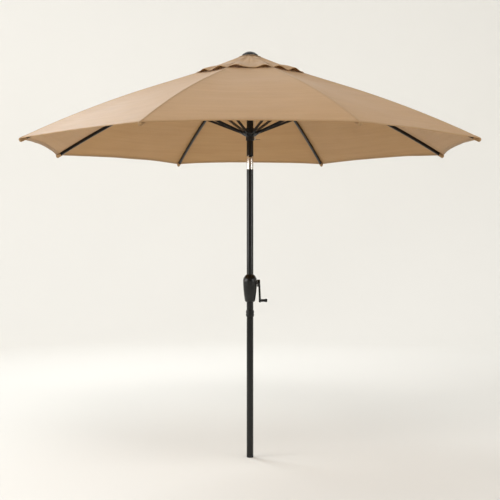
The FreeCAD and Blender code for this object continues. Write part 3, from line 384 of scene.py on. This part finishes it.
materials = {
    "tan_canvas": canvas("tan_canvas", TAN, TAN_SHADE, TAN_THROUGH, 0.37),
    "tan_seam": stitched("tan_seam", rgb(191, 154, 108), rgb(174, 136, 92), rgb(202, 168, 124)),
    "bronze_paint": powder_coat("bronze_paint", rgb(11, 11, 10), rgb(17, 17, 15), 0.18),
    "rib_paint": powder_coat("rib_paint", rgb(14, 13, 12), rgb(22, 20, 18), 0.38),
    "black_plastic": moulded("black_plastic", rgb(10, 10, 10), rgb(17, 17, 16), 0.36),
    "housing_plastic": moulded(
        "housing_plastic", rgb(10, 10, 9), rgb(16, 16, 15), 0.19, grain=1200, shine=0.45
    ),
    "black_rubber": moulded(
        "black_rubber", rgb(30, 30, 30), rgb(46, 45, 44), 0.72, grain=700, depth=0.0004
    ),
    "bright_chrome": polished("bright_chrome"),
    "steel": zinc("steel"),
    "white_nylon": moulded("white_nylon", rgb(228, 225, 214), rgb(212, 208, 196), 0.5, grain=900),
    # Each cord's second colour is painted shade for the grooves between its strands.
    "white_cord": braid("white_cord", rgb(236, 232, 222), rgb(176, 170, 158)),
    "dark_cord": braid("dark_cord", rgb(72, 58, 44), rgb(38, 31, 25)),
}

SHOWN_AS = {"strut_paint": "rib_paint"}


def dress_cad_nodes():
    slots = {part["node"]: part["material_slot"] for part in frame["record"]["subparts"]}
    for name, item in frame["nodes"].items():
        wanted = materials[SHOWN_AS.get(slots[name], slots[name])]
        for holder in item.material_slots:
            holder.link = "OBJECT"
            holder.material = wanted


# ---- mesh tools ----


def grid_mesh(name, rows, maps, material, flip=False, closed=False, thickness=CLOTH):
    """A smooth sheet through rows of points: UVs in metres, thickness on the outer side."""
    width = len(rows[0])
    mesh = bpy.data.meshes.new(name)
    points = [point for row in rows for point in row]
    faces = []
    for j in range(len(rows) - 1):
        for i in range(width - (0 if closed else 1)):
            n = (i + 1) % width
            quad = (j * width + i, j * width + n, (j + 1) * width + n, (j + 1) * width + i)
            faces.append(quad[::-1] if flip else quad)
    mesh.from_pydata(points, [], faces)
    layer = mesh.uv_layers.new(name=UV)
    flat = [uv for row in maps for uv in row]
    for polygon in mesh.polygons:
        for corner in polygon.loop_indices:
            layer.data[corner].uv = flat[mesh.loops[corner].vertex_index]
    mesh.polygons.foreach_set("use_smooth", [True] * len(mesh.polygons))
    mark_open_edges(mesh)
    item = bpy.data.objects.new(name, mesh)
    bpy.context.scene.collection.objects.link(item)
    mesh.materials.append(material)
    if thickness:
        solid = item.modifiers.new("thickness", "SOLIDIFY")
        solid.thickness = thickness
        solid.offset = 1
    return item


def mark_open_edges(mesh):
    """Sharp edges round a sheet keep its shading flat up to where the next sheet joins it."""
    uses = {}
    for polygon in mesh.polygons:
        for key in polygon.edge_keys:
            uses[key] = uses.get(key, 0) + 1
    for edge in mesh.edges:
        edge.use_edge_sharp = uses.get(edge.key, 0) == 1


def turned(point, number):
    return Matrix.Rotation(rib_azimuth(number), 3, "Z") @ Vector(point)


def fold_away(item):
    """Gives the piece its own copy of its mesh."""
    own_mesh(item)


def on_panel(radius, across, side=1):
    """X and Y on the straight line from a rib (across 0) to the panel's middle (across 1)."""
    return radius - across * radius * SIN * SIN, side * across * radius * COS * SIN


def across_at(column, columns, radius, overlap):
    """Columns spread from just under the seam tape's edge to the panel's middle."""
    start = SEAM_HALF * overlap / (radius * COS * SIN)
    return start + (1 - start) * column / columns


def sewn_to_rib(item, number):
    """Cloth that moves with a rib."""
    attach(item, f"rib_{number + 1}")
    return item


def half_panel(kind, number, side, rows, maps):
    """Half a panel beside a rib, as a sheet attached to the rib's body.
    """
    name = f"{kind}_panel_{number + 1}_{'left' if side > 0 else 'right'}"
    item = grid_mesh(name, rows, maps, materials["tan_canvas"], flip=side < 0)
    sewn_to_rib(item, number)
    fold_away(item)
    return item


# Panels, linings and patches each add a multiple of their own number to their UVs, so that no two
# show the same stretch of the weave.

# ---- main canopy ----


def main_line(length):
    return rib_point(length, RIB_HALF_HEIGHT + CLOTH_GAP)


def length_at(radius):
    return (radius - PIVOT) / math.cos(RIB_SLOPE)


MAIN_START = length_at(VENT_HOLE)


def ruffle(point, across):
    """Slight slackness, none at the ribs and alike on both sides of a panel's middle."""
    slack = smooth(across * 3)
    broad = noise.noise(point * 3.1 + Vector((4.2, 0, 0)))
    small = noise.noise(point * 11 + Vector((0, 7.7, 0)))
    return slack * (0.0035 * broad + 0.0010 * small)


def main_point(length, across, side=1):
    """Cloth between a rib (across 0) and the middle of the panel beside it (across 1)."""
    radius, height = main_line(length)
    share = min(1.0, max(0.0, (length - MAIN_START) / (RIB_END - MAIN_START)))
    sag = PANEL_SAG * (1 - (1 - across) ** 2) * math.sin(math.pi * share) ** 0.8
    return Vector((*on_panel(radius, across, side), height - sag))


def main_gore(number, side):
    """Half a panel, from a rib's side to the middle of the panel, with its hem folded under."""
    rows, maps = [], []
    stations, columns = 46, 18
    panel = (number + (0 if side > 0 else -1)) % RIBS

    def edge(across):
        return RIB_END - HEM_CUT * (1 - (1 - across) ** 2)

    def add_row(place, drop=0.0):
        row, uvs = [], []
        for column in range(columns + 1):
            length = place(across_at(column, columns, 1.0, SEAM_LAP))  # spread as at 1 m radius
            radius = main_line(length)[0]
            across = across_at(column, columns, radius, SEAM_LAP)
            point = main_point(length, across, side)
            point.z += ruffle(turned(point, number), across) - drop
            row.append(turned(point, number))
            beside = -side * (1 - across) * radius * SIN
            uvs.append((beside + panel * 1.7, length + panel * 3.1))
        rows.append(row)
        maps.append(uvs)

    for j in range(stations + 1):
        share = (j / stations) ** 0.9
        add_row(lambda across, share=share: MAIN_START + share * (edge(across) - MAIN_START))
    turn, under = 0.0004, CLOTH * 2.2
    add_row(lambda across: edge(across) + turn, under * 0.5)
    for step in (0.02, 0.35, 0.7, 1.0):
        add_row(lambda across, step=step: edge(across) - HEM_FOLD * step, under)
    return half_panel("canopy", number, side, rows, maps)


def surface_strip(name, number, lengths, half, place):
    """A tape laid along a rib on a cloth surface, crowned across, with its UVs across and along."""
    rows, maps = [], []
    columns = 6
    for length in lengths:
        row, uvs = [], []
        for column in range(columns + 1):
            y = half * (2 * column / columns - 1)
            point = place(length, abs(y))
            crown = (CLOTH + TAPE_GAP) * (1 - 0.75 * abs(y / half) ** 3)
            row.append(turned((point.x, y, point.z + crown), number))
            uvs.append((y, length))
        rows.append(row)
        maps.append(uvs)
    item = grid_mesh(name, rows, maps, materials["tan_seam"], thickness=TAPE)
    return sewn_to_rib(item, number)


def seam(number):
    """The felled seam that joins two panels over a rib."""
    past = 0.002
    start = MAIN_START - past
    steps = 90
    lengths = [start + (RIB_END + past - start) * j / steps for j in range(steps + 1)]

    def place(length, y):
        radius = main_line(length)[0]
        return main_point(length, y / (radius * COS * SIN))

    return surface_strip(f"canopy_seam_{number + 1}", number, lengths, SEAM_HALF, place)


def tip_pocket(number):
    """The sewn pocket that holds a rib's tip: a snug sleeve with a rounded, closed end."""
    around, steps = 20, 12
    half_width, half_height = RIB_HALF_WIDTH + 0.0028, RIB_HALF_HEIGHT + 0.0022
    end, nose = RIB_END + 0.005, 0.010
    smallest = 0.04
    rows, maps = [], []
    for j in range(steps + 1):
        share = j / steps
        length = end - POCKET_LENGTH * (1 - share) ** 1.3
        near_end = max(0.0, (length - (end - nose)) / nose)
        scale = max(smallest, math.sqrt(max(0.0, 1 - near_end**2)))
        flare = 1 + 0.10 * (1 - smooth(share * 4))
        row, uvs = [], []
        for i in range(around):
            angle = 2 * math.pi * i / around
            cos, sin = math.cos(angle), math.sin(angle)
            y = half_width * scale * flare * math.copysign(abs(cos) ** 0.7, cos)
            rise = half_height * scale * math.copysign(abs(sin) ** 0.8, sin)
            rise *= flare if sin < 0 else 1
            radius, height = rib_point(length, rise + 0.0004)
            row.append(turned((radius, y, height), number))
            uvs.append((y + 0.02 * (rise < 0), length))
        rows.append(row)
        maps.append(uvs)
    name = f"tip_pocket_{number + 1}"
    item = grid_mesh(name, rows, maps, materials["tan_seam"], closed=True, thickness=THIN_CLOTH)
    return sewn_to_rib(item, number)


# ---- vent cover ----


def vent_line(share):
    """Radius and height from the crown (0) to the vent cover's hem (1), bent at the middle."""
    (r0, z0), (r1, z1), (r2, z2) = (VENT_START, VENT_TOP_Z), VENT_BREAK, VENT_HEM
    a, b, c = (1 - share) ** 2, 2 * share * (1 - share), share**2
    control_r = 2 * r1 - (r0 + r2) / 2
    control_z = 2 * z1 - (z0 + z2) / 2
    return a * r0 + b * control_r + c * r2, a * z0 + b * control_z + c * z2


# The waves in front, by rib and side. The numbers are a wave's place between the rib (0) and the
# panel's middle (1), its spread and its height.
FRONT_WAVES = {
    (4, 1): (0.49, 0.22, 1.0),
    (5, -1): (0.51, 0.34, 1.1),
    (5, 1): (0.38, 0.32, 1.05),
    (6, -1): (0.36, 0.25, 0.95),
    (6, 1): (0.45, 0.32, 1.0),
    (7, -1): (0.56, 0.28, 1.3),
}


def wave(number, side, across, share):
    """The hem is tacked down at the ribs and the panels' middles, and stands open between."""
    seed = Vector((number * 3.7, side * 2.1, 0.5))
    place = 0.48 + 0.08 * noise.noise(seed + Vector((0, 0, 9)))
    usual = (place, 0.28, 1 + 0.3 * noise.noise(seed))
    centre, spread, height = FRONT_WAVES.get((number, side), usual)
    crest = math.exp(-(((across - centre) / spread) ** 2))
    tack = smooth(across / WAVE_TACK) * smooth((1 - across) / WAVE_TACK)
    growth = smooth((share - WAVE_START) / (1 - WAVE_START)) ** 1.4
    return WAVE_LIFT * height * crest * tack * growth


def vent_point(share, across, side, number):
    radius, height = vent_line(share)
    slack = 0.0016 * math.sin(across * math.pi * 3) * math.sin(math.pi * share)
    height += wave(number, side, across, share) + slack
    return Vector((*on_panel(radius, across, side), height))


def vent_gore(number, side):
    """Half a panel of the vent cover, with its hem folded under."""
    rows, maps = [], []
    stations, columns = 26, 20
    panel = (number + (0 if side > 0 else -1)) % RIBS

    def add_row(share, drop=0.0):
        row, uvs = [], []
        radius = vent_line(share)[0]
        for column in range(columns + 1):
            across = across_at(column, columns, radius, VENT_SEAM_LAP)
            point = vent_point(share, across, side, number)
            world = turned(point, number)
            crumple = 0.0022 * noise.noise(world * 17) + 0.0010 * noise.noise(world * 43)
            point.z += crumple * smooth(across * 5) * smooth((1 - across) * 5) - drop
            row.append(turned(point, number))
            beside = -side * (1 - across) * radius * SIN
            uvs.append((beside + panel * 2.3, radius * VENT_SLOPE + panel * 1.3))
        rows.append(row)
        maps.append(uvs)

    run = VENT_HEM[0] - VENT_START
    for j in range(stations + 1):
        add_row(j / stations)
    turn, under = 0.0005, CLOTH * 2
    add_row(1.0 + turn, under * 0.5)
    for step in (0.02, 0.5, 1.0):
        add_row(1.0 - VENT_HEM_FOLD * step / run, under)
    run = run * VENT_SLOPE + VENT_HEM_FOLD
    return half_panel("vent", number, side, rows, maps)


def vent_seam(number):
    """The seam over a rib on the vent cover, from under the crown patch to the hem."""
    steps = 30
    shares = [VENT_SEAM_START + (1 - VENT_SEAM_START) * j / steps for j in range(steps + 1)]

    def place(share, y):
        radius, height = vent_line(min(share, 1.0))
        return Vector((on_panel(radius, y / (radius * COS * SIN))[0], 0, height))

    return surface_strip(f"vent_seam_{number + 1}", number, shares, SEAM_HALF * 0.9, place)


def vent_lining(number):
    """A strip under the vent cover along a rib, which closes the cover when it gathers."""
    rows, maps = [], []
    steps, columns = 14, 8
    for j in range(steps + 1):
        share = LINING_START + LINING_REACH * j / steps
        radius, height = vent_line(share)
        half = min(0.97 * radius * COS * SIN, LINING_HALF)
        row, uvs = [], []
        for column in range(columns + 1):
            y = half * (2 * column / columns - 1)
            x = radius - abs(y) * SIN / COS
            row.append(turned((x, y, height - LINING_GAP), number))
            uvs.append((y + number * 0.6, radius + number * 0.4))
        rows.append(row)
        maps.append(uvs)
    name = f"vent_lining_{number + 1}"
    item = grid_mesh(name, rows, maps, materials["tan_canvas"], thickness=THIN_CLOTH)
    sewn_to_rib(item, number)
    return item


def crown_patch(number):
    """Cloth round the crown, clamped under the finial and bending out over each rib.

    Every second patch is wider and lies under its neighbours, so the ring stays closed as it folds.
    """
    rows, maps = [], []
    under = number % 2 == 1
    share_at_radius = 0.93 / (VENT_HEM[0] - VENT_START)
    radii = [0.024, 0.032, 0.040, 0.047, 0.052, 0.057, 0.062, 0.066]
    columns = 10
    for radius in radii:
        row, uvs = [], []
        share = max(0.0, (radius - VENT_START) * share_at_radius)
        height = vent_line(share)[1] + CLOTH + (TAPE_GAP if under else PATCH_GAP)
        for column in range(columns + 1):
            across = (2 * column / columns - 1) * (CROWN_WIDER if under else 1)
            x, y = on_panel(radius, abs(across), math.copysign(1, across))
            row.append(turned((x, y, height), number))
            uvs.append((y + number * 0.9, radius + number * 0.7))
        rows.append(row)
        maps.append(uvs)
    item = grid_mesh(f"crown_patch_{number + 1}", rows, maps, materials["tan_canvas"],
                     thickness=UNDER_PATCH if under else THIN_CLOTH)
    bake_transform(item)
    return item


def canopy():
    for number in range(RIBS):
        left = main_gore(number, 1)
        main_gore(number, -1)
        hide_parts(f"canopy_gore_{number + 1}")
        vent_gore(number, 1)
        vent_gore(number, -1)
        seam(number)
        vent_seam(number)
        vent_lining(number)
        tip_pocket(number)
        crown_patch(number)


# ---- lift cord's end ----


def tube(name, points, radius, material, body):
    """A smooth round cord through control points, as a mesh with closed flat ends."""
    curve = bpy.data.curves.new(name, "CURVE")
    curve.dimensions = "3D"
    curve.bevel_depth = radius
    curve.bevel_resolution = 4
    curve.resolution_u = 8
    curve.use_fill_caps = True
    spline = curve.splines.new("NURBS")
    spline.points.add(len(points) - 1)
    for target, point in zip(spline.points, points):
        target.co = (*point, 1)
    spline.order_u = 3
    spline.use_endpoint_u = True
    holder = bpy.data.objects.new(f"{name}_curve", curve)
    bpy.context.scene.collection.objects.link(holder)
    bpy.context.view_layer.update()
    mesh = bpy.data.meshes.new_from_object(holder)
    bpy.data.objects.remove(holder)
    item = bpy.data.objects.new(name, mesh)
    bpy.context.scene.collection.objects.link(item)
    mesh.materials.clear()
    mesh.materials.append(material)
    mesh.polygons.foreach_set("use_smooth", [True] * len(mesh.polygons))
    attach(item, body)
    return item


def cord_end():
    """The stopper knot under the runner and the short tail beyond it."""
    low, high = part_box("cord_knot")
    across = (low.y + high.y) / 2
    radius, tail_radius = 0.0015, 0.0011
    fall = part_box("lift_cord_upper")[1].x - radius
    level = low.z + 0.0034
    half_length, girth = 0.0048, 0.0026
    turns, per_turn = 3, 10
    loops = []
    for step in range(turns * per_turn + 1):
        angle = 2 * math.pi * step / per_turn
        along = half_length * (2 * step / (turns * per_turn) - 1)
        swell = girth * (1 - 0.35 * abs(along / half_length))
        x, y = fall + swell * math.cos(angle), across + swell * math.sin(angle)
        loops.append((x, y, level + 0.003 + along))
    through = [(fall, across, high.z), (fall, across, level + 0.014), (fall, across, level + 0.009)]
    knot = tube("cord_knot_wraps", through + loops[::-1], radius, materials["white_cord"], "runner")
    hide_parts("cord_knot")
    tail = [
        (fall + 0.001, across, level - 0.0005),
        (fall + 0.008, across + 0.0004, level - 0.0006),
        (fall + 0.016, across - 0.0004, level - 0.0012),
        (high.x, across, level - 0.0004),
    ]
    loose = tube("cord_tail", tail, tail_radius, materials["dark_cord"], "runner")


# ---- springs behind the push buttons ----


def shorten_springs():
    """Gives each button's spring its own copy of its mesh."""
    springs = {"button_spring": "tilt_button_press", "snap_spring": "snap_button_press"}
    for spring, press in springs.items():
        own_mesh(frame["nodes"][spring])


# ---- stage, light and camera ----

VIEW_DISTANCE = 5.61
VIEW_HEIGHT = 1.22
VIEW_DOWN = math.radians(0.46)
LENS, SENSOR = 71.3, 36.0
WALL_COLOUR = rgb(243, 241, 236)
# The floor colour is darker than the wall's as painted shade against the ceiling light.
FLOOR_COLOUR_WITH_PAINTED_SHADE = rgb(220, 217, 211)
# The near wall's grey is painted shade for the unlit side of the studio.
PAINTED_SHADE_WALL_COLOUR = rgb(142, 141, 138)


def stage():
    """A pale floor that curves up into a round wall, which is painted grey behind the camera as painted shade."""
    wall, bend, rise = 9.5, 3.0, 8.0
    foot = wall - bend
    floor_shape = [(0.02, 0.0), (3.0, 0.0), (foot, 0.0)]
    wall_shape = [(foot, 0.0)]
    for step in range(1, 15):
        angle = math.radians(6 * step)
        wall_shape.append((foot + bend * math.sin(angle), bend - bend * math.cos(angle)))
    wall_shape += [(wall, bend), (wall, rise)]
    paint = backdrop_paint_and_shade("studio_paint_and_painted_shade", WALL_COLOUR, FLOOR_COLOUR_WITH_PAINTED_SHADE, PAINTED_SHADE_WALL_COLOUR)
    turns = [math.radians(5 * step) for step in range(73)]

    def turned_sheet(name, shape):
        rows = [[Vector((r * math.cos(a), r * math.sin(a), z)) for a in turns] for r, z in shape]
        maps = [[(r * math.cos(a), r * math.sin(a)) for a in turns] for r, _ in shape]
        return grid_mesh(name, rows, maps, paint, thickness=0)

    turned_sheet("studio_wall", wall_shape)
    turned_sheet("studio_floor", floor_shape)


def area_light(name, place, aim, width, height, power, colour=(1, 1, 1)):
    """A soft rectangle of light, in watts, that the camera doesn't see."""
    data = bpy.data.lights.new(name, "AREA")
    data.shape = "RECTANGLE"
    data.size, data.size_y = width, height
    data.energy = power
    data.color = colour
    item = bpy.data.objects.new(name, data)
    item.location = place
    item.rotation_euler = (Vector(aim) - Vector(place)).to_track_quat("-Z", "Y").to_euler()
    item.visible_camera = False
    bpy.context.scene.collection.objects.link(item)
    return item


def lights():
    world = bpy.data.worlds.new("studio_air")
    world.use_nodes = True
    world.node_tree.nodes["Background"].inputs["Color"].default_value = (1.0, 0.99, 0.97, 1)
    world.node_tree.nodes["Background"].inputs["Strength"].default_value = 0.24
    bpy.context.scene.world = world
    area_light("ceiling", (0, 1.0, 8.6), (0, 1.0, 0), 18, 16, 415)
    area_light("wall_wash", (-2.8, 3.5, 5.8), (-2.8, 9.5, 0.7), 9, 1.6, 122)
    area_light("front_fill", (0.5, -5.0, 7.0), (0.3, 0, 1.0), 4, 2.0, 205)
    area_light("left_softbox", (-4.4, -1.8, 2.05), (0, 0, 1.4), 4.4, 2.3, 105)
    area_light("right_softbox", (3.7, -3.0, 2.05), (0, 0, 1.4), 0.6, 2.3, 40)
    area_light("left_spot", (-3.9, -1.3, 4.1), (0, 0, 1.0), 0.7, 0.7, 32)
    area_light("right_spot", (3.5, -1.25, 4.3), (0, 0, 1.0), 0.7, 0.7, 20)
    area_light("rim", (-2.5, 2.9, 4.3), (0, 0, 2.1), 1.8, 1.2, 120, (0.93, 1.0, 1.05))


def camera():
    data = bpy.data.cameras.new("camera")
    data.lens, data.sensor_width = LENS, SENSOR
    item = bpy.data.objects.new("camera", data)
    item.location = (0, -VIEW_DISTANCE, VIEW_HEIGHT)
    item.rotation_euler = (math.pi / 2 - VIEW_DOWN, 0, 0)
    bpy.context.scene.collection.objects.link(item)
    bpy.context.scene.camera = item


camera()
dress_cad_nodes()
canopy()
cord_end()
shorten_springs()
stage()
lights()
bpy.context.scene.view_settings.view_transform = "Standard"
